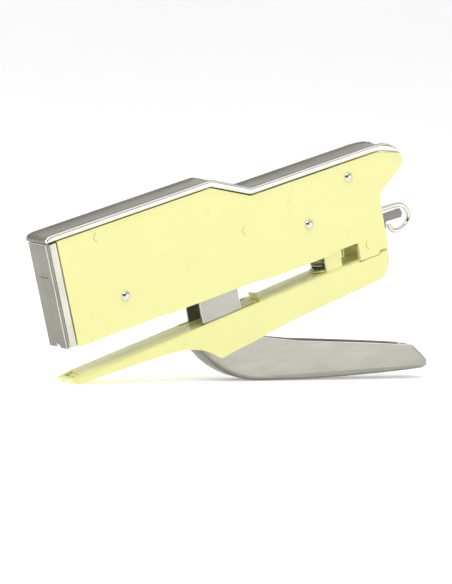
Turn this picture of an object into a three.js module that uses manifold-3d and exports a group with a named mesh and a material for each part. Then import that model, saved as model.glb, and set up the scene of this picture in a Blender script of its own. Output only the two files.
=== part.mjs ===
// Plier-type hand stapler: sheet-steel body on a long lower jaw, squeezed by a channel lever.
// Millimetres. Pieces are drawn along the body (x to the rear, z up, y across), then the
// whole tool is tilted so that it stands on its jaw tip and its lever.
import * as THREE from 'three';
import { mergeVertices } from 'three/addons/utils/BufferGeometryUtils.js';
import Module from 'manifold-3d';

const wasm = await Module();
wasm.setup();

// Driving dimensions
const TILT = THREE.MathUtils.degToRad(17.9);
const BODY_HALF = 6.03;            // outside of the side plates
const SHEET = 0.8;                 // body and jaw sheet thickness
const BODY_TOP = 38.5;             // height of the front half of the body
const REAR_TOP = 30.8;             // height of the rear half
const KINK = [66.3, 82.9];         // where the top edge steps down
const BODY_REAR = 140.8;
const STRIP_HALF = 6.9;
const MAG_HALF = 3.8;              // magazine half width
const MAG_TOP = 8.8;
const EAR_IN = 4.18;               // lever ears, inner and outer faces
const EAR_OUT = 4.93;
const GAP = 0.15;                  // clearance between neighbouring pieces
const HEAD_R = 1.85;               // rivet heads
const PIN_R = 1.4;
const WIRE_R = 0.95;
const RIVET_FRONT = [22.7, 11.5];
const RIVET_MIDDLE = [106.2, 12.9];
const RIVET_REAR = [127.7, 24.9];
const LEVER_PIN = [54.6, 14.8];
const JAW_PIN = [132.2, -2.55];
const ROD_Z = 3.2;
const SPRING_X = 111.8;             // return spring and its seat on the jaw

// Finishes
const paint = { color: 0xf2efad, roughness: 0.35, metalness: 0.0 };
const nickel = { color: 0xc9c6b8, roughness: 0.25, metalness: 0.9 };
const dullNickel = { color: 0xa8a498, roughness: 0.4, metalness: 0.9 };
const zinc = { color: 0xc6c6ba, roughness: 0.35, metalness: 0.75 };
const darkSteel = { color: 0x5f5d58, roughness: 0.5, metalness: 0.8 };

// Helpers
const asSolid = (geometry) => {
  const g = geometry.clone();
  g.deleteAttribute('normal');
  if (g.getAttribute('uv')) g.deleteAttribute('uv');
  const m = mergeVertices(g, 1e-4);
  return new wasm.Manifold(new wasm.Mesh({
    numProp: 3,
    vertProperties: new Float32Array(m.getAttribute('position').array),
    triVerts: new Uint32Array(m.getIndex().array),
  }));
};
const asGeometry = (solid) => {
  const mesh = solid.getMesh();
  const g = new THREE.BufferGeometry();
  g.setAttribute('position', new THREE.BufferAttribute(mesh.vertProperties, 3));
  g.setIndex(new THREE.BufferAttribute(mesh.triVerts, 1));
  const flat = g.toNonIndexed();
  flat.computeVertexNormals();
  return flat;
};
// A side outline given as [x, z] points, extruded across from y0 to y1.
const slab = (points, y0, y1, bevel = 0, segments = 4) => {
  const shape = new THREE.Shape(points.map(([x, z]) => new THREE.Vector2(x, z)));
  const g = new THREE.ExtrudeGeometry(shape, {
    depth: y1 - y0 - 2 * bevel, bevelEnabled: bevel > 0, bevelThickness: bevel,
    bevelSize: bevel, bevelOffset: -bevel, bevelSegments: segments,
  });
  g.rotateX(Math.PI / 2);
  g.translate(0, y1 - bevel, 0);
  return g;
};
const box = (x0, x1, y0, y1, z0, z1) => new THREE.BoxGeometry(x1 - x0, y1 - y0, z1 - z0)
  .translate((x0 + x1) / 2, (y0 + y1) / 2, (z0 + z1) / 2);
const rod = ([x, z], r, y0, y1, sides = 32) => new THREE.CylinderGeometry(r, r, y1 - y0, sides)
  .translate(x, (y0 + y1) / 2, z);
const cut = (base, ...tools) => tools.reduce((a, t) => a.subtract(asSolid(t)), base);
const join = (...pieces) => pieces.map(asSolid).reduce((a, b) => a.add(b));
const mirrorY = (make) => [make(1), make(-1)];
const span = (side, a, b) => (side > 0 ? [a, b] : [-b, -a]);

// Parallel offset of an open line, to its left for positive distance.
const offsetLine = (points, distance) => points.map((p, i) => {
  const a = points[Math.max(i - 1, 0)];
  const b = points[Math.min(i + 1, points.length - 1)];
  const n = new THREE.Vector2(-(b[1] - a[1]), b[0] - a[0]).normalize();
  return [p[0] + n.x * distance, p[1] + n.y * distance];
});
const circle = (r, sides) => {
  const s = new THREE.Shape();
  for (let i = 0; i < sides; i += 1) {
    const t = (i / sides) * 2 * Math.PI;
    s[i ? 'lineTo' : 'moveTo'](r * Math.cos(t), r * Math.sin(t));
  }
  s.closePath();
  return s;
};
const wire = (curve, r, steps, sides = 8) => new THREE.ExtrudeGeometry(
  circle(r, sides), { extrudePath: curve, steps, bevelEnabled: false });
class Helix extends THREE.Curve {
  constructor(start, axis, length, radius, turns) {
    super();
    this.start = start; this.axis = axis; this.length = length;
    this.radius = radius; this.turns = turns;
  }

  getPoint(t) {
    const a = 2 * Math.PI * this.turns * t;
    const side = new THREE.Vector3(0, 1, 0).multiplyScalar(Math.cos(a) * this.radius);
    const up = new THREE.Vector3().crossVectors(this.axis, new THREE.Vector3(0, 1, 0))
      .multiplyScalar(Math.sin(a) * this.radius);
    return this.start.clone().addScaledVector(this.axis, this.length * t).add(side).add(up);
  }
}

const stapler = new THREE.Group();
stapler.name = 'plier_stapler';
const add = (name, shape, finish) => {
  const geometry = shape.isBufferGeometry ? shape : asGeometry(shape);
  const mesh = new THREE.Mesh(geometry, new THREE.MeshStandardMaterial(finish));
  mesh.name = name;
  stapler.add(mesh);
};

// Body: two side plates, held apart by rivets and spacer tubes
const plateOutline = [
  [0, 0], [0, BODY_TOP], [KINK[0], BODY_TOP], [KINK[1], REAR_TOP], [139.7, 30.5], [142.6, 30.5],
  [145.4, 29.8], [151.4, 28.0], [153.6, 26.5], [154.4, 24.9], [153.8, 23.1], [151.5, 21.2],
  [147.0, 18.4], [143.2, 16.0], [141.2, 14.6], [BODY_REAR, 13.5], [BODY_REAR, -6.4],
  [136.7, -6.1], [136.0, -7.6], [127.1, -7.5], [127.1, -0.5], [116, -0.4], [109, -1.3],
  [86, -1.2], [76, -0.4], [39, -0.4], [38.4, 0],
];
const sidePlate = (side) => cut(
  asSolid(slab(plateOutline, ...span(side, BODY_HALF - SHEET, BODY_HALF))),
  ...[RIVET_FRONT, RIVET_MIDDLE, RIVET_REAR]
    .map((p) => rod(p, PIN_R + 0.1, ...span(side, 4, 7))),
);
const [rightPlate, leftPlate] = mirrorY(sidePlate);
add('left_side_plate', leftPlate, paint);
add('right_side_plate', rightPlate, paint);

const rivet = (at) => {
  const profile = [[0, 7.15], [0.7, 7.1], [1.3, 6.85], [1.7, 6.5], [HEAD_R, 6.2], [HEAD_R, 6.13]];
  const half = [...profile, [PIN_R, 6.13]];
  const points = [...half, ...half.map(([r, y]) => [r, -y]).reverse()].reverse();
  return new THREE.LatheGeometry(points.map(([r, y]) => new THREE.Vector2(r, y)), 32)
    .translate(at[0], 0, at[1]);
};
add('rivet_front', rivet(RIVET_FRONT), nickel);
add('rivet_middle', rivet(RIVET_MIDDLE), nickel);
add('rivet_rear', rivet(RIVET_REAR), nickel);
add('jaw_hinge_pin', rod(JAW_PIN, PIN_R, -5.08, 5.08), nickel);
const spacer = (at) => cut(asSolid(rod(at, 2.2, -5.05, 5.05)), rod(at, PIN_R + 0.1, -6, 6));
add('spacer_front', spacer(RIVET_FRONT), zinc);
add('spacer_rear', spacer(RIVET_REAR), zinc);

// Nickel strip with rolled edges along the top of the body
const stripOutline = [
  [-4.0, 38.7], [66.4, 38.75], [83.0, 31.1], [139.7, 30.85], [142.7, 30.8], [145.6, 30.15],
  [151.7, 28.3], [153.6, 27.1], [154.2, 27.7], [151.8, 30.1], [149.2, 31.9], [146.0, 33.1],
  [142.6, 33.5], [139.7, 33.6], [83.6, 33.8], [67.0, 41.4], [-2.5, 41.4], [-4.1, 40.9], [-4.7, 39.7],
  [-4.7, 38.9],
];
add('top_strip', slab(stripOutline, -STRIP_HALF, STRIP_HALF), nickel);

// Front: folded cover, blade guide behind it
const cover = cut(
  asSolid(box(-4.6, -3.3, -5.6, 5.6, 0.6, 38.5)),
  box(-3.8, 0, -4.9, 4.9, 0, 39),
  new THREE.CylinderGeometry(1.6, 1.6, 3, 24).rotateZ(Math.PI / 2).translate(-4.2, 0, 0.3),
);
add('front_cover', cover, dullNickel);
const guide = cut(
  asSolid(box(-3.1, -0.3, -5.9, 5.9, 0.6, 38.3)),
  box(-4, -1.4, -4.9, 4.9, 0, 39),
  box(-4, 0.5, -4.9, 4.9, 14, 39),
  box(-4, 0.5, -4.0, 4.0, 0, 6.3),
);
add('front_guide', guide, nickel);

// Magazine, with its stick of staples
const magazine = cut(
  asSolid(box(0.3, 133.6, -MAG_HALF, MAG_HALF, 0.3, MAG_TOP)),
  box(-1, 141, -MAG_HALF + 0.45, MAG_HALF - 0.45, 0.85, 10),
);
add('magazine_channel', magazine, zinc);
const stick = cut(asSolid(box(-1.2, 45, -3.05, 3.05, 1.1, 5.7)), box(-2, 46, -2.5, 2.5, 0, 5.2));
add('staple_stick', stick, nickel);

// Hammer arm, pivoted on the middle rivet, and the blade on its nose
const hammerOutline = [
  [104.0, 9.9], [108.6, 10.6], [110.0, 13.0], [108.8, 15.6], [84, 23], [62, 30.5], [-0.1, 34.6],
  [-0.1, 28.5], [30, 22], [48, 18.5], [51.0, 12.4], [58.2, 12.4], [61, 16], [84, 13],
];
const hammer = cut(
  join(slab(hammerOutline, -3.7, 3.7), box(-2.7, 0.5, -1.4, 1.4, 32.2, 34.2)),
  slab(hammerOutline.map(([x, z]) => [x, z - 1.3]), -2.9, 2.9),
  rod(RIVET_MIDDLE, PIN_R + 0.1, -6, 6),
  rod(LEVER_PIN, PIN_R + 0.1, -6, 6),
);
add('hammer_arm', hammer, zinc);
const blade = cut(asSolid(box(-2.4, -1.9, -4.3, 4.3, 5.9, 37)), box(-3, -1, -1.55, 1.55, 32.05, 34.35));
add('driver_blade', blade, darkSteel);
add('lever_pin', rod(LEVER_PIN, PIN_R, -5.05, 5.05), nickel);

// Lever: a channel with a rounded underside and two ears up to its pin
const leverUnder = [
  [53.0, -9.7], [50.3, -15.8], [50.3, -18.3], [52.4, -21.5], [54.0, -23.9], [56.6, -26.9],
  [59.6, -29.7], [63.5, -32.7], [67.7, -35.1], [71.9, -36.9], [80.7, -39.7], [89.7, -42.5],
  [98.7, -45.1], [112.6, -48.9], [126.7, -52.5], [141.2, -56.0], [148.5, -57.6], [151.2, -57.2],
  [151.4, -54.8], [149.2, -51.4], [146.1, -47.3],
];
const leverEdge = [
  [139, -44.6], [125, -39.5], [111.2, -34.6], [93.3, -28.3], [84.6, -24.7], [79.0, -22.2],
  [76.7, -21.6], [73.2, -15.5], [70.4, -9.7], [70.4, -0.9], [58.2, 14.5], [57.2, 17.4],
  [54.6, 18.5], [52.0, 17.4], [50.9, 14.8], [53.3, -0.9],
];
const inner = offsetLine(leverUnder, 0.8);
const leverShell = asSolid(slab([...leverUnder, [150, 30], [45, 30], [45, -9.7]],
  -EAR_OUT, EAR_OUT, 1.6))
  .intersect(asSolid(slab([...leverUnder, ...leverEdge], -6, 6)));
const lever = cut(
  leverShell,
  slab([[40, -9], ...inner.slice(1), [158, -40], [158, 30], [40, 30]], -EAR_IN, EAR_IN, 1.0),
  rod(LEVER_PIN, PIN_R + 0.1, -6, 6),
);
add('lever_handle', lever, zinc);

// Lower jaw: a channel open below, slotted for the lever ears, with hinge lugs at the rear
const jawTop = [
  [-4.8, -10.9], [1.7, -10.3], [27.9, -9.6], [54, -9.1], [78.1, -8.3], [97.2, -7.5], [111.8, -7.1],
  [140.9, -6.9],
];
const jawUnder = [
  [141.1, -8.3], [140.7, -10.5], [139.3, -13.3], [137.6, -15.5], [136.0, -16.8], [129.2, -17.5],
  [120.2, -18.0], [109.4, -18.5], [89.9, -19.7], [80.3, -20.9], [70.7, -21.9], [63.5, -22.5],
  [58.9, -23.1], [57.5, -23.0], [55.9, -22.0], [52.9, -19.4], [50.1, -17.7], [46.8, -16.4],
  [42.6, -15.1], [36.1, -14.4], [27.4, -13.8], [10.1, -13.1], [-3.0, -12.7], [-4.8, -12.2],
];
const jawShell = asSolid(slab([...jawTop, [141.1, -40], [-4.8, -40]], -BODY_HALF, BODY_HALF, 1.2))
  .intersect(asSolid(slab([...jawTop, ...jawUnder], -7, 7)));
const hollowTop = offsetLine(jawTop, -SHEET);
hollowTop[0][0] += 1.4;
const slotX = [48, 79.2];
const lugOutline = [
  [127, -9], [127.6, -2.6], [129.5, 0.2], [134.9, 0.2], [136.8, -2.6], [138, -9],
];
const earNotch = [
  [126.4, -4], [126.4, -8.0], [131, -7.8], [136.5, -7.9], [137.6, -6.4], [142, -6.7], [142, -4],
];
const jawEars = mirrorY((s) => slab([[111.4, -9], [111.4, 1.0], [118.8, 1.0], [118.8, -9]],
  ...span(s, 4.15, 4.9)));
const jawBase = cut(
  jawShell,
  slab([...hollowTop, [145, -40], [-3.2, -40]], -BODY_HALF + SHEET, BODY_HALF - SHEET, 0.5),
  ...mirrorY((s) => box(...slotX, ...span(s, 3.4, 5.15), -12, -4)),
  ...mirrorY((s) => slab(earNotch, ...span(s, 5.0, 8))),
  box(-2.9, 0.9, -3.4, 3.4, -12, -9),
  new THREE.CylinderGeometry(4.6, 4.6, 2.6, 48).rotateZ(Math.PI / 2).translate(-4.6, 0, -15.95),
);
const jaw = [
  ...mirrorY((s) => slab(lugOutline, ...span(s, 4.15, 4.9))),
  ...jawEars,
  box(80.4, 81.2, -2.4, 3.4, -8.6, -6.4),
].reduce((a, g) => a.add(asSolid(g)), jawBase);
add('lower_jaw', cut(jaw, rod(JAW_PIN, PIN_R + 0.1, -6, 6)), paint);
const anvil = cut(
  asSolid(slab([[-2.7, -12.1], [0.7, -11.9], [0.7, -10.95], [-2.7, -11.2]], -3.2, 3.2)),
  ...mirrorY((s) => box(-2.1, -1.0, ...span(s, 0.4, 2.8), -11.45, -9)),
);
add('anvil_plate', anvil, paint);

// Return spring between jaw and magazine
const springAxis = new THREE.Vector3(0, 0, 1);
const seat = [[3.5, 0], [4.05, 0], [4.05, 0.5], [3.8, 0.65], [3.5, 0.5]];
add('spring_seat', new THREE.LatheGeometry(
  [...seat, seat[0]].map(([r, y]) => new THREE.Vector2(r, y)), 40)
  .rotateX(Math.PI / 2).translate(SPRING_X, 0, -6.95), paint);
add('jaw_spring', wire(new Helix(new THREE.Vector3(SPRING_X, 0, -6.1), springAxis, 5.7, 2.85, 3.5),
  0.42, 84), darkSteel);

// Pusher: plug, tongue and wire loop at the rear, rod, spring and follower in the magazine
const plug = cut(asSolid(box(134.0, 141.2, -3.2, 3.2, 0.95, 8.4)),
  new THREE.CylinderGeometry(0.8, 0.8, 3, 24).rotateZ(Math.PI / 2).translate(134.2, 0, ROD_Z));
add('pusher_plug', plug, darkSteel);
add('pusher_tongue', slab([[141.4, -0.9], [145.4, -0.9], [146.0, 1.8], [153.6, 1.4], [154.4, 3],
  [153.6, 4.9], [141.4, 5.1]], -0.6, 0.6), darkSteel);
const loopPoints = [
  [141.6, 7.0], [147, 6.85], [152.6, 6.5], [155.6, 5.2], [157.3, 2.7], [157.4, 0.4],
  [156.3, -1.4], [154.0, -2.7], [151.3, -3.2], [149.2, -2.7], [147.8, -1.3], [147.2, 0.2],
];
const loop = new THREE.CatmullRomCurve3(loopPoints.map(([x, z]) => new THREE.Vector3(x, 0, z)));
add('wire_loop', wire(loop, WIRE_R, 64, 14), nickel);
add('pusher_rod', new THREE.CylinderGeometry(0.7, 0.7, 93.6, 20).rotateZ(Math.PI / 2)
  .translate(88.1, 0, ROD_Z), nickel);
add('follower_block', cut(asSolid(box(45.4, 57, -2.95, 2.95, 1.1, 6.4)),
  new THREE.CylinderGeometry(0.8, 0.8, 20, 24).rotateZ(Math.PI / 2).translate(51, 0, ROD_Z)),
darkSteel);
add('pusher_spring', wire(new Helix(new THREE.Vector3(57.6, 0, ROD_Z), new THREE.Vector3(1, 0, 0),
  75.6, 1.55, 22), 0.3, 264, 6), zinc);

// Stand the tool on its jaw tip and lever, with the origin under its middle
stapler.rotation.y = -TILT;
stapler.updateMatrixWorld(true);
const bounds = new THREE.Box3().setFromObject(stapler, true);
const centre = bounds.getCenter(new THREE.Vector3());
stapler.position.set(-centre.x, 0, -bounds.min.z);
stapler.updateMatrixWorld(true);

export default stapler;
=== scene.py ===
"""Plier stapler: yellow enamelled body and jaw, nickel strip and cover, zinc lever."""
import math

import bmesh
import bpy
from mathutils import Matrix, Vector


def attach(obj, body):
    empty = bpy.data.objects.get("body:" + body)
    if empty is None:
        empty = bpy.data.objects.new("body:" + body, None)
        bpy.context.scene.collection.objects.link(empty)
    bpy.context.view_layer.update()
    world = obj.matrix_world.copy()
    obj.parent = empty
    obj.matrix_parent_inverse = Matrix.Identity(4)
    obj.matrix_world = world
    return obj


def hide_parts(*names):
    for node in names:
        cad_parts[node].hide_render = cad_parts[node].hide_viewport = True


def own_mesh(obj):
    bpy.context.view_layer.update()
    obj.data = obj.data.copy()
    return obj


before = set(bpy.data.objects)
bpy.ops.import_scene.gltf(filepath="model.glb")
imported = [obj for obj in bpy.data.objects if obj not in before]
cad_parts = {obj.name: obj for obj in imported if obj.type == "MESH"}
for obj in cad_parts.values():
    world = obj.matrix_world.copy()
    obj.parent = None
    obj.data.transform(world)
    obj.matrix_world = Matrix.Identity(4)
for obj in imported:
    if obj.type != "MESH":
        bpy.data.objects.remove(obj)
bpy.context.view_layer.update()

# The tool is drawn along its body in millimetres (x rearwards, z up), then tilted and set down.
TILT = math.radians(17.9)
ORIGIN_X, ORIGIN_Z = 72.394, -13.085
BODY_HALF = 6.03
STRIP_HALF = 6.9
BEAD_RADIUS = 1.35
# The bead's brightness is a painted highlight: a near-white nickel on the strip's rolled edges.
BEAD_HIGHLIGHT_REACH = 0.75  # how far in from the strip's edge the bright bead comes
RIVETS = {"rivet_front": (22.7, 11.5), "rivet_middle": (106.2, 12.9), "rivet_rear": (127.7, 24.9)}
CRESCENTS = ((16.3, 35.2), (78.1, 19.1), (132.2, -2.55))
CRESCENT_RADIUS = 1.6
SPRING_X, SPRING_BOTTOM, SPRING_SEAT = 111.8, -6.45, -6.9
SPRING_HEIGHT, SPRING_RADIUS, SPRING_TURNS, SPRING_WIRE = 6.0, 2.85, 4.6, 0.42
ROD_Z = 3.2
PUSHER_START, PUSHER_LENGTH, PUSHER_RADIUS, PUSHER_TURNS, PUSHER_WIRE = 57.6, 75.6, 1.55, 26, 0.28
LOOP_WIRE = 0.95
COVER_FRONT, LINE_Z, LINE_HALF, LINE_WIRE = -4.6, 26.2, 2.6, 0.12
WELD = 2e-6  # metres, as a mesh's points are
FLATTEN = math.radians(0.6)
FLOOR_GLOW = 0.32
# Camera: place in row-frame metres, its right and up directions, lens and sensor in millimetres
CAMERA_AT = (-0.54020, -0.72527, 0.10885)
CAMERA_RIGHT = (0.80696627, -0.58626306, 0.07142171)
CAMERA_UP = (-0.00758036, 0.11063986, 0.99383166)
LENS, SENSOR = 153.2, 36


def place(x, y, z):
    """Body millimetres to row-frame metres."""
    c, s = math.cos(TILT), math.sin(TILT)
    return Vector((x * c - z * s - ORIGIN_X, y, x * s + z * c - ORIGIN_Z)) / 1000


# ---------------------------------------------------------------- materials
class Nodes:
    """A small builder for a procedural material around one Principled shader."""

    def __init__(self, name, **sockets):
        self.material = bpy.data.materials.new(name)
        self.material.use_nodes = True
        self.tree = self.material.node_tree
        self.shader = self.tree.nodes["Principled BSDF"]
        for key, value in sockets.items():
            self.shader.inputs[key.replace("_", " ")].default_value = value
        self.coord = self.tree.nodes.new("ShaderNodeTexCoord").outputs["Object"]

    def node(self, kind, links=(), **values):
        n = self.tree.nodes.new(kind)
        for key, value in values.items():
            if key in n.inputs:
                n.inputs[key].default_value = value
            else:
                setattr(n, key, value)
        for socket, source in dict(links).items():
            self.tree.links.new(source, n.inputs[socket])
        return n

    def noise(self, scale, detail=4.0, stretch=(1, 1, 1), turn=0.0, rough=0.5):
        mapping = self.node("ShaderNodeMapping", {"Vector": self.coord})
        mapping.inputs["Rotation"].default_value = (0, turn, 0)
        squeeze = self.node("ShaderNodeMapping", {"Vector": mapping.outputs[0]})
        squeeze.inputs["Scale"].default_value = stretch
        n = self.node("ShaderNodeTexNoise", {"Vector": squeeze.outputs[0]})
        n.inputs["Scale"].default_value = scale
        n.inputs["Detail"].default_value = detail
        n.inputs["Roughness"].default_value = rough
        return n.outputs["Fac"]

    def ramp(self, source, low, high, start=0.3, end=0.7):
        r = self.node("ShaderNodeValToRGB", {"Fac": source})
        r.color_ramp.elements[0].position, r.color_ramp.elements[1].position = start, end
        r.color_ramp.elements[0].color, r.color_ramp.elements[1].color = low, high
        return r.outputs["Color"]

    def feed(self, *pairs):
        """Each socket takes a link where its value is another node's output, else the value."""
        for socket, value in pairs:
            if hasattr(value, "links"):
                self.tree.links.new(value, socket)
            else:
                socket.default_value = value

    def mix(self, fac, a, b):
        m = self.node("ShaderNodeMix", data_type="RGBA")
        self.feed((m.inputs[0], fac), (m.inputs[6], a), (m.inputs[7], b))
        return m.outputs[2]

    def edges(self, radius):
        """0 on flats, rising to 1 along convex and concave edges."""
        bevel = self.node("ShaderNodeBevel", samples=6)
        bevel.inputs["Radius"].default_value = radius
        geometry = self.node("ShaderNodeNewGeometry")
        dot = self.node("ShaderNodeVectorMath", operation="DOT_PRODUCT")
        self.tree.links.new(bevel.outputs[0], dot.inputs[0])
        self.tree.links.new(geometry.outputs["Normal"], dot.inputs[1])
        span = self.node("ShaderNodeMapRange", {"Value": dot.outputs["Value"]})
        span.inputs["From Min"].default_value = 0.995
        span.inputs["From Max"].default_value = 0.80
        return span.outputs["Result"]

    def product(self, a, b):
        m = self.node("ShaderNodeMath", operation="MULTIPLY")
        self.feed((m.inputs[0], a), (m.inputs[1], b))
        return m.outputs[0]

    def link(self, source, socket):
        self.tree.links.new(source, self.shader.inputs[socket])

    def bump(self, height, strength, distance):
        b = self.node("ShaderNodeBump", {"Height": height})
        b.inputs["Strength"].default_value = strength
        b.inputs["Distance"].default_value = distance
        self.link(b.outputs[0], "Normal")


def grey(v, warm=0.04):
    return (v, v * (1 - warm * 0.4), v * (1 - warm * 2), 1)


def enamel():
    """Pale yellow enamel: faint orange peel, clouding, and a darker tone in patches along edges, thin
    enamel on outer edges and painted shade in inner creases.
    """
    m = Nodes("yellow_enamel_paint", Roughness=0.32, Coat_Weight=0.18, Coat_Roughness=0.12,
              IOR=1.5)
    clouds = m.ramp(m.noise(45, 3), (0.895, 0.875, 0.37, 1), (0.915, 0.897, 0.39, 1))
    dust = m.ramp(m.noise(900, 4, rough=0.65), (0, 0, 0, 1), (1, 1, 1, 1), 0.66, 0.82)
    body = m.mix(m.product(dust, 0.03), clouds, (0.60, 0.57, 0.24, 1))
    patches = m.ramp(m.noise(260, 5), (0, 0, 0, 1), (1, 1, 1, 1), 0.42, 0.62)
    # The edge mask times patches darkens the enamel: thin enamel on outer edges, painted shade along
    # inner creases.
    thin_edges_and_crease_shade = m.product(m.edges(0.00035), patches)
    m.link(m.mix(m.product(thin_edges_and_crease_shade, 0.35), body, (0.66, 0.62, 0.36, 1)), "Base Color")
    m.link(m.ramp(m.noise(120, 4), (0.26, 0.26, 0.26, 1), (0.40, 0.40, 0.40, 1)), "Roughness")
    m.bump(m.noise(650, 2), 0.10, 0.0002)
    return m.material


def plated(name, light, dark, rough, brushed=(1, 1, 1), turn=0.0, wear_and_highlight=0.5, bump=0.06, scale=240,
           warm=0.04, underside_painted_shade=0.0):
    """Plated steel with a grain, cloudy tarnish, edges brighter (partly rubbed wear, partly painted
    highlight) and downward-facing faces darker as painted shade.
    """
    m = Nodes(name, Metallic=1.0)
    tarnish = m.ramp(m.noise(60, 5), grey(dark, warm), grey(light, warm), 0.25, 0.70)
    streaks = m.ramp(m.noise(scale, 6, brushed, turn, 0.7), (0.72, 0.71, 0.69, 1), (1, 1, 1, 1))
    tone = m.node("ShaderNodeMix", data_type="RGBA", blend_type="MULTIPLY")
    tone.inputs[0].default_value = 0.55
    m.tree.links.new(tarnish, tone.inputs[6])
    m.tree.links.new(streaks, tone.inputs[7])
    # Edges are lifted toward near white: partly rubbed wear, partly a painted highlight.
    bright_edges_wear_and_highlight = m.product(m.edges(0.0004), wear_and_highlight)
    colour = m.mix(bright_edges_wear_and_highlight, tone.outputs[2], grey(0.93, warm * 0.4))
    # Faces turned downward are darkened toward a deep grey: painted shade.
    if underside_painted_shade:
        facing = m.node("ShaderNodeSeparateXYZ")
        m.tree.links.new(m.node("ShaderNodeNewGeometry").outputs["Normal"], facing.inputs[0])
        low = m.node("ShaderNodeMapRange", {"Value": facing.outputs["Z"]},
                     interpolation_type="SMOOTHSTEP")
        low.inputs["From Min"].default_value = 0.15
        low.inputs["From Max"].default_value = -0.85
        colour = m.mix(m.product(low.outputs["Result"], underside_painted_shade), colour, grey(dark * 0.35, warm))
    m.link(colour, "Base Color")
    m.link(m.ramp(m.noise(150, 4, brushed, turn), (rough * 0.8,) * 3 + (1,),
                  (rough * 1.35,) * 3 + (1,)), "Roughness")
    m.bump(m.noise(scale * 1.6, 3, brushed, turn), bump, 0.0002)
    return m.material


PAINT = enamel()
BRIGHT = plated("bright_nickel", 0.78, 0.60, 0.17, (1, 6, 1), bump=0.03, warm=0.06)
# One nickel strip in two finishes: the bead near white as a painted highlight, the flat top dark as
# painted shade. The cover's edges also take the bead finish as a painted highlight.
BEAD_HIGHLIT = plated("bead_nickel_painted_highlight", 0.95, 0.82, 0.13, (0.06, 3, 2), TILT, 0.3, 0.03, 420, 0.05)
STRIP_SHADED = plated("strip_nickel_painted_shade", 0.27, 0.20, 0.26, (0.06, 3, 2), TILT, 0.8, 0.06, 420, 0.10)
# COVER's wear value of 1.0 lifts its edges to near white: a painted highlight.
COVER = plated("cover_satin_nickel", 0.31, 0.24, 0.30, (2, 2, 0.12), TILT, 1.0, 0.10, 500, 0.07)
BAND = plated("guide_nickel", 0.78, 0.60, 0.2, (2, 2, 0.15), TILT, 0.6, warm=0.08)
# ZINC's wear value of 1.0 lifts the lever's edges to near white as a painted highlight, and its last
# value, 0.75, darkens its downward-facing faces as painted shade.
ZINC = plated("lever_zinc", 0.50, 0.46, 0.30, (0.12, 1, 0.8), TILT * 0.55, 1.0, 0.05, 380, 0.06,
              0.75)
INNER = plated("inner_steel", 0.42, 0.28, 0.42, (0.2, 2, 2), TILT)
DARK = plated("dark_spring_steel", 0.26, 0.15, 0.32, (1, 1, 1))
MARK = plated("engraved_line", 0.10, 0.05, 0.6, (1, 1, 1), wear_and_highlight=0.0)


# ---------------------------------------------------------------- helpers for shapes
def finish_piece(obj, material, body, stands_for=(), angle=35):
    obj.data.materials.clear()
    obj.data.materials.append(material)
    if obj.type == "MESH":
        obj.data.shade_smooth()
        obj.data.set_sharp_from_angle(angle=math.radians(angle))
    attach(obj, body)
    if stands_for:
        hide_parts(*stands_for)
    return obj


def new_object(name, data):
    obj = bpy.data.objects.new(name, data)
    bpy.context.scene.collection.objects.link(obj)
    return obj


def round_edges(obj, width, segments=3, angle=32):
    b = obj.modifiers.new("rounded_edges", "BEVEL")
    b.width, b.segments, b.limit_method = width / 1000, segments, "ANGLE"
    b.angle_limit = math.radians(angle)
    return obj


def dressed(node, body, material, width=0.15, segments=2, angle=30, highlight_finish=None):
    """The CAD node's shape, welded and rounded, with its own finish and, where given, a brighter finish
    on its rounded edges as a painted highlight.
    """
    bm = bmesh.new()
    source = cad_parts[node]
    bm.from_mesh(source.data)
    bmesh.ops.remove_doubles(bm, verts=bm.verts, dist=WELD)
    bmesh.ops.dissolve_limit(bm, angle_limit=FLATTEN, verts=bm.verts, edges=bm.edges)
    data = bpy.data.meshes.new(node + "_skin")
    bm.to_mesh(data)
    bm.free()
    obj = new_object(node + "_skin", data)
    if width:
        round_edges(obj, width, segments)
    finish_piece(obj, material, body, (node,), angle)
    # The bevelled edges take the brighter finish: a painted highlight.
    if highlight_finish:
        obj.data.materials.append(highlight_finish)
        obj.modifiers["rounded_edges"].material = 1
    return obj


def lathe(name, rings, sides=48):
    """A turned shape about Y from (radius, y) in millimetres, closed on its axis at both ends."""
    bm = bmesh.new()
    loops = []
    for r, y in rings:
        if r == 0:
            loops.append([bm.verts.new(Vector((0, y, 0)) / 1000)])
        else:
            loops.append([bm.verts.new(Vector((r * math.cos(2 * math.pi * i / sides), y,
                                               r * math.sin(2 * math.pi * i / sides))) / 1000)
                          for i in range(sides)])
    for a, b in zip(loops, loops[1:]):
        for i in range(sides):
            j = (i + 1) % sides
            corners = [a[i % len(a)], a[j % len(a)], b[j % len(b)], b[i % len(b)]]
            unique = list(dict.fromkeys(corners))
            if len(unique) > 2:
                bm.faces.new(unique)
    bmesh.ops.recalc_face_normals(bm, faces=bm.faces)
    data = bpy.data.meshes.new(name)
    bm.to_mesh(data)
    bm.free()
    return new_object(name, data)


def sweep(name, stations, section):
    """Skins one cross-section, given as (y, share of height), through (lower, upper) stations."""
    bm = bmesh.new()
    rings = [[bm.verts.new(place(lo[0] + (hi[0] - lo[0]) * t, y, lo[1] + (hi[1] - lo[1]) * t))
              for y, t in section] for lo, hi in stations]
    n = len(section)
    for a, b in zip(rings, rings[1:]):
        for i in range(n):
            bm.faces.new((a[i], a[(i + 1) % n], b[(i + 1) % n], b[i]))
    bm.faces.new(rings[0])
    bm.faces.new(list(reversed(rings[-1])))
    bmesh.ops.recalc_face_normals(bm, faces=bm.faces)
    data = bpy.data.meshes.new(name)
    bm.to_mesh(data)
    bm.free()
    return new_object(name, data)


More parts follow.
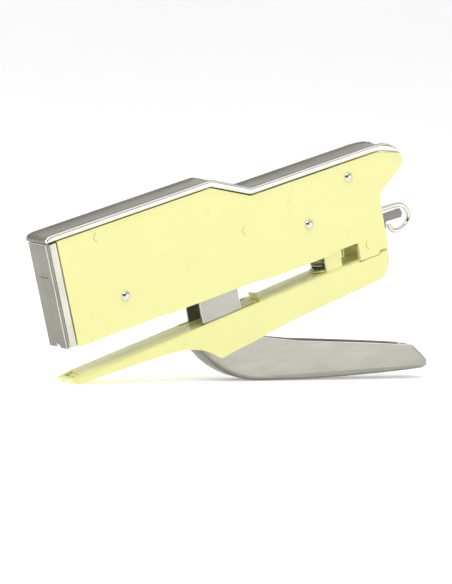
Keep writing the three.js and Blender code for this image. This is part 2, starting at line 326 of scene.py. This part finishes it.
def tube(name, points, radius, material, body, stands_for=()):
    curve = bpy.data.curves.new(name, "CURVE")
    curve.dimensions = "3D"
    curve.bevel_depth = radius / 1000
    curve.bevel_resolution = 5
    curve.use_fill_caps = True
    spline = curve.splines.new("POLY")
    spline.points.add(len(points) - 1)
    for p, at in zip(spline.points, points):
        p.co = (*place(*at), 1)
    obj = new_object(name, curve)
    depsgraph = bpy.context.evaluated_depsgraph_get()
    data = bpy.data.meshes.new_from_object(obj.evaluated_get(depsgraph))
    bpy.data.objects.remove(obj)
    mesh = new_object(name, data)
    return finish_piece(mesh, material, body, stands_for, 60)


def coil(start, axis, length, radius, turns, per_turn=28, dead=0.0):
    """Points of a coil spring with closed end turns."""
    points = []
    total = int(turns * per_turn)
    for i in range(total + 1):
        a = 2 * math.pi * i / per_turn
        share = i / total
        if dead:
            share = min(max((share - dead) / (1 - 2 * dead), 0), 1) * 0.94 + 0.06 * share
        side, up = radius * math.cos(a), radius * math.sin(a)
        along = [start[k] + axis[k] * length * share for k in range(3)]
        points.append((along[0] + up * axis[2], along[1] + side, along[2] + up * axis[0]))
    return points


def smooth_line(points, steps=8):
    """A curve through every point, cut into short steps."""
    out = []
    for i in range(len(points) - 1):
        p = [Vector(points[max(0, min(j, len(points) - 1))]) for j in (i - 1, i, i + 1, i + 2)]
        for s in range(steps):
            t = s / steps
            out.append(0.5 * (2 * p[1] + (p[2] - p[0]) * t + (2 * p[0] - 5 * p[1] + 4 * p[2] - p[3])
                              * t * t + (3 * p[1] - p[0] - 3 * p[2] + p[3]) * t ** 3))
    return out + [Vector(points[-1])]


# ---------------------------------------------------------------- pieces
def top_strip():
    """Flat sheet with a rolled bead along each side; the beads take a near-white nickel as a painted
    highlight and the flat top a dark nickel as painted shade.
    """
    stations = [
        ((-4.55, 38.8), (-4.68, 39.4)), ((-4.3, 38.72), (-4.55, 40.2)), ((-4.0, 38.7), (-4.1, 40.85)),
        ((-3.2, 38.7), (-2.9, 41.28)), ((-2.0, 38.7), (-1.8, 41.4)), ((-0.4, 38.75), (-0.2, 41.4)),
        ((20, 38.75), (20, 41.4)),
        ((65.6, 38.75), (65.8, 41.4)), ((66.3, 38.73), (66.9, 41.35)), ((67.1, 38.4), (68.2, 40.9)),
        ((82.4, 31.35), (82.6, 34.2)), ((83.1, 31.12), (83.5, 33.9)), ((84.0, 31.1), (84.6, 33.8)),
        ((112, 31.0), (112, 33.7)), ((139.7, 30.85), (139.7, 33.6)), ((142.7, 30.8), (142.9, 33.45)),
        ((145.6, 30.15), (146.3, 33.0)), ((148.6, 29.2), (149.3, 31.9)),
        ((151.3, 28.35), (151.9, 30.1)), ((152.8, 27.6), (153.4, 28.6)), ((153.6, 27.1), (153.9, 27.6)),
    ]
    half = [(STRIP_HALF - BEAD_RADIUS + BEAD_RADIUS * math.cos(a), 0.5 + 0.5 * math.sin(a))
            for a in (math.radians(d) for d in range(-90, 136, 15))]
    half += [(STRIP_HALF - 2.75, 0.80), (STRIP_HALF - 3.1, 0.78)]
    section = half + [(-y, t) for y, t in reversed(half)]
    strip = sweep("top_strip_rolled", stations, section)
    finish_piece(strip, STRIP_SHADED, "body", ("top_strip",), 50)
    strip.data.materials.append(BEAD_HIGHLIT)
    # Faces on the beads take the bright finish: painted highlight.
    for face in strip.data.polygons:
        if abs(face.center.y) > (STRIP_HALF - BEAD_HIGHLIGHT_REACH) / 1000:
            face.material_index = 1
    round_edges(strip, 0.12, 2, 50)


def rivets():
    """Each rivet has a domed head on both sides."""
    head = [(0, 7.13), (0.5, 7.1), (0.95, 6.98), (1.35, 6.78), (1.66, 6.5), (1.82, 6.25), (1.85, 6.1),
            (1.4, 6.06)]
    for node, at in RIVETS.items():
        rivet = lathe(node + "_turned", head + [(r, -y) for r, y in reversed(head)])
        rivet.location = place(at[0], 0, at[1])
        rivet.rotation_euler = (0, -TILT, 0)
        finish_piece(rivet, BRIGHT, "body", (node,), 60)


def springs():
    """The jaw spring rides with the jaw; the pusher spring rides with its rod."""
    turns = coil((SPRING_X, 0, SPRING_BOTTOM), (0, 0, 1), SPRING_HEIGHT, SPRING_RADIUS, SPRING_TURNS,
                 dead=0.14)
    spring = tube("jaw_spring_coil", turns, SPRING_WIRE, ZINC, "jaw", ("jaw_spring",))
    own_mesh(spring)
    turns = coil((PUSHER_START, 0, ROD_Z), (1, 0, 0), PUSHER_LENGTH, PUSHER_RADIUS, PUSHER_TURNS, 20)
    tube("pusher_spring_coil", turns, PUSHER_WIRE, INNER, "pusher", ("pusher_spring",))


def wire_loop():
    """A bent wire with a smooth line through its bends."""
    bends = [(141.6, 7.0), (147, 6.85), (152.6, 6.5), (155.6, 5.2), (157.3, 2.7), (157.4, 0.4),
             (156.3, -1.4), (154.0, -2.7), (151.3, -3.2), (149.2, -2.7), (147.8, -1.3), (147.2, 0.2)]
    line = [(v.x, 0, v.y) for v in smooth_line(bends)]
    tube("wire_loop_bent", line, LOOP_WIRE, BRIGHT, "pusher", ("wire_loop",))


def sheet_pieces():
    """Plates, jaw, lever and inner pieces keep their CAD shapes, welded and rounded."""
    dressed("left_side_plate", "body", PAINT, 0.22, 3)
    dressed("right_side_plate", "body", PAINT, 0.22, 3)
    dressed("lower_jaw", "jaw", PAINT, 0.16, 2)
    dressed("spring_seat", "jaw", PAINT, 0.1)
    dressed("anvil_plate", "jaw", PAINT, 0.08)
    # The lever's and the cover's rounded edges get a brighter nickel: painted highlight.
    dressed("lever_handle", "lever", ZINC, 0.2, 3, highlight_finish=BRIGHT)
    dressed("front_cover", "body", COVER, 0.34, 3, highlight_finish=BEAD_HIGHLIT)
    dressed("front_guide", "body", BAND, 0.5, 4)
    for node, body, material, slot in (
            ("magazine_channel", "body", INNER, "zinc"), ("spacer_front", "body", INNER, "zinc"),
            ("spacer_rear", "body", INNER, "zinc"), ("hammer_arm", "hammer", INNER, "zinc"),
            ("driver_blade", "hammer", DARK, "dark_steel"), ("lever_pin", "hammer", BRIGHT, "nickel"),
            ("jaw_hinge_pin", "body", BRIGHT, "nickel"), ("staple_stick", "body", BRIGHT, "nickel"),
            ("pusher_plug", "pusher", DARK, "dark_steel"),
            ("pusher_tongue", "pusher", DARK, "dark_steel"),
            ("pusher_rod", "pusher", INNER, "nickel"),
            ("follower_block", "pusher", DARK, "dark_steel")):
        dressed(node, body, material, 0.12)


def crescents():
    """Small raised crescents on both side plates: a darker arc of painted shadow beside a raised yellow
    lip.
    """
    shade = Nodes("shaded_enamel_edge", Roughness=0.5)
    tint = shade.ramp(shade.noise(300, 3), (0.44, 0.43, 0.17, 1), (0.60, 0.59, 0.26, 1))
    shade.link(tint, "Base Color")
    for number, at in enumerate(CRESCENTS):
        for side, label in ((-1, "left"), (1, "right")):
            arc = [(at[0] + CRESCENT_RADIUS * math.cos(a), side * (BODY_HALF - 0.03),
                    at[1] + CRESCENT_RADIUS * math.sin(a))
                   for a in (math.radians(d) for d in range(105, 256, 10))]
            # Darker arc along one side of the crescent: painted shadow.
            tube("crescent_painted_shadow_%d_%s" % (number, label), arc, 0.13, shade.material, "body")
            lip = [(x + 0.24, y, z) for x, y, z in arc]
            tube("shear_lip_%d_%s" % (number, label), lip, 0.16, PAINT, "body")


def cover_line():
    """One plain line across the front cover."""
    points = [(COVER_FRONT, y, LINE_Z) for y in (-LINE_HALF, 0.4, LINE_HALF)]
    tube("cover_line", points, LINE_WIRE, MARK, "body")


# ---------------------------------------------------------------- stage, light, camera
def pale_floor():
    """A flat floor that curves up far behind the tool."""
    floor_data = bpy.data.meshes.new("floor")
    bm = bmesh.new()
    line = [(-6, 0), (2.0, 0)] + [(2.0 + 1.0 * math.sin(a), 1.0 - math.cos(a))
                                  for a in (math.radians(d) for d in range(9, 91, 9))] + [(3.0, 4.0)]
    turn = Matrix.Rotation(math.radians(-36.3), 3, "Z")
    rows = [[bm.verts.new(turn @ Vector((x, y, z))) for x in (-8, 8)] for y, z in line]
    for a, b in zip(rows, rows[1:]):
        bm.faces.new((a[0], a[1], b[1], b[0]))
    bm.to_mesh(floor_data)
    bm.free()
    floor_data.shade_smooth()
    floor = new_object("floor", floor_data)
    pale = Nodes("pale_floor", Roughness=0.9)
    pale.link(pale.ramp(pale.noise(3, 2), (0.93, 0.93, 0.93, 1), (0.95, 0.95, 0.95, 1)), "Base Color")
    pale.shader.inputs["Emission Color"].default_value = (1, 1, 1, 1)
    pale.shader.inputs["Emission Strength"].default_value = FLOOR_GLOW
    floor.data.materials.append(pale.material)


def sky_ramp(tree, source, stops):
    """Grey levels along a source value, from (position, level) stops."""
    ramp = tree.nodes.new("ShaderNodeValToRGB")
    for element, (at, v) in zip(ramp.color_ramp.elements, (stops[0], stops[-1])):
        element.position = at
        element.color = grey(v, 0)
    for at, v in stops[1:-1]:
        ramp.color_ramp.elements.new(at).color = grey(v, 0)
    tree.links.new(source, ramp.inputs[0])
    return ramp.outputs[0]


def studio_world():
    """Pale walls, a darker band above, and a dark patch on the camera's side to be reflected."""
    world = bpy.data.worlds.new("studio")
    bpy.context.scene.world = world
    world.use_nodes = True
    tree = world.node_tree
    background = tree.nodes["Background"]
    sky = tree.nodes.new("ShaderNodeTexCoord").outputs["Generated"]
    split = tree.nodes.new("ShaderNodeSeparateXYZ")
    tree.links.new(sky, split.inputs[0])
    height = sky_ramp(tree, split.outputs["Z"],
                      ((0.0, 1.0), (0.22, 1.0), (0.36, 0.42), (0.62, 0.45), (0.85, 1.0)))
    toward = tree.nodes.new("ShaderNodeVectorMath")
    toward.operation = "DOT_PRODUCT"
    tree.links.new(sky, toward.inputs[0])
    toward.inputs[1].default_value = (-0.62, -0.77, 0.14)
    patch = sky_ramp(tree, toward.outputs["Value"], ((0.60, 1.0), (0.88, 0.08)))
    both = tree.nodes.new("ShaderNodeMix")
    both.data_type, both.blend_type = "RGBA", "MULTIPLY"
    both.inputs[0].default_value = 1.0
    tree.links.new(height, both.inputs[6])
    tree.links.new(patch, both.inputs[7])
    tree.links.new(both.outputs[2], background.inputs["Color"])
    background.inputs["Strength"].default_value = 1.0


def softbox(name, at, size, watts, target=(0, 0, 0.04)):
    light = bpy.data.lights.new(name, "AREA")
    light.shape, light.size, light.energy = "DISK", size, watts
    obj = new_object(name, light)
    obj.location = at
    obj.rotation_mode = "QUATERNION"
    obj.rotation_quaternion = (Vector(target) - Vector(at)).to_track_quat("-Z", "Y")


def main_camera():
    """Off the front of the tool's left side, looking slightly down and rolled about 4 degrees."""
    data = bpy.data.cameras.new("camera")
    camera = new_object("camera", data)
    data.lens = LENS
    data.sensor_width = SENSOR
    data.clip_start, data.clip_end = 0.05, 20
    right, up = Vector(CAMERA_RIGHT), Vector(CAMERA_UP)
    axes = Matrix((right, up, right.cross(up))).transposed().to_4x4()
    camera.matrix_world = Matrix.Translation(CAMERA_AT) @ axes
    bpy.context.scene.camera = camera


top_strip()
rivets()
springs()
wire_loop()
sheet_pieces()
crescents()
cover_line()
pale_floor()
studio_world()
softbox("key", (-0.45, -0.35, 0.9), 0.5, 3.2)
softbox("side", (-0.95, 0.15, 0.30), 0.5, 2.2)
softbox("fill", (0.6, -0.8, 0.30), 0.6, 1.0)
main_camera()
bpy.context.scene.view_settings.view_transform = "Standard"
